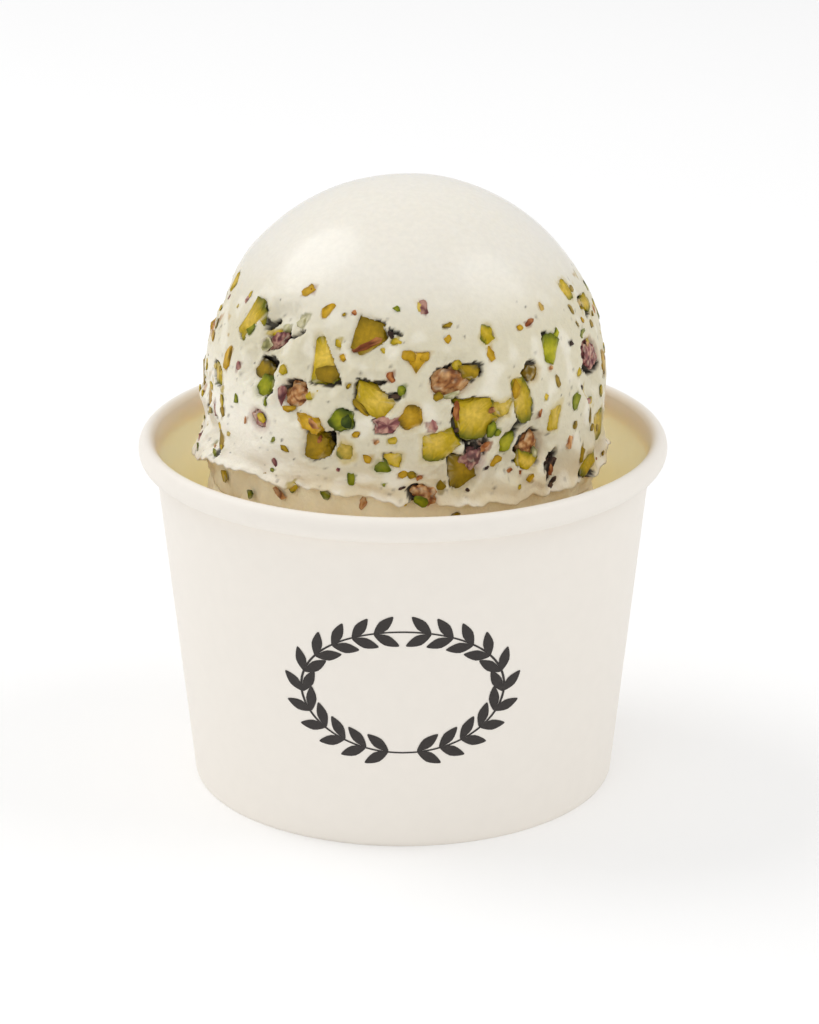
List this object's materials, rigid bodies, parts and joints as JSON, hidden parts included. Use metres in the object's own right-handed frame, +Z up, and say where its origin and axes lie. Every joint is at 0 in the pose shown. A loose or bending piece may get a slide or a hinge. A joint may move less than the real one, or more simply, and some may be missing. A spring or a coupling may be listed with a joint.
{
  "type": "gelato cup",
  "caption": "Round paper cup with a rolled rim, filled with gelato and topped by a tall scoop set with chopped pistachios.",
  "frame": {"origin": "centre of the ring that the cup stands on", "axes": "+Z up through the scoop, the cup's shown side faces -Y, +X to the viewer's right"},
  "size_m": [0.09, 0.09, 0.105],
  "materials": {
    "cup_wall": "smooth coated board, satin",
    "cup_base": "smooth coated board, satin",
    "gelato_bed": "frozen cream, rough and slightly wet",
    "gelato_scoop": "frozen cream, smooth and glossy on top, icy round the nuts"
  },
  "bodies": {
    "root": {"cup_wall": "cup_wall", "cup_base": "cup_base", "gelato_bed": "gelato_bed", "gelato_scoop": "gelato_scoop"}
  },
  "joints": []
}
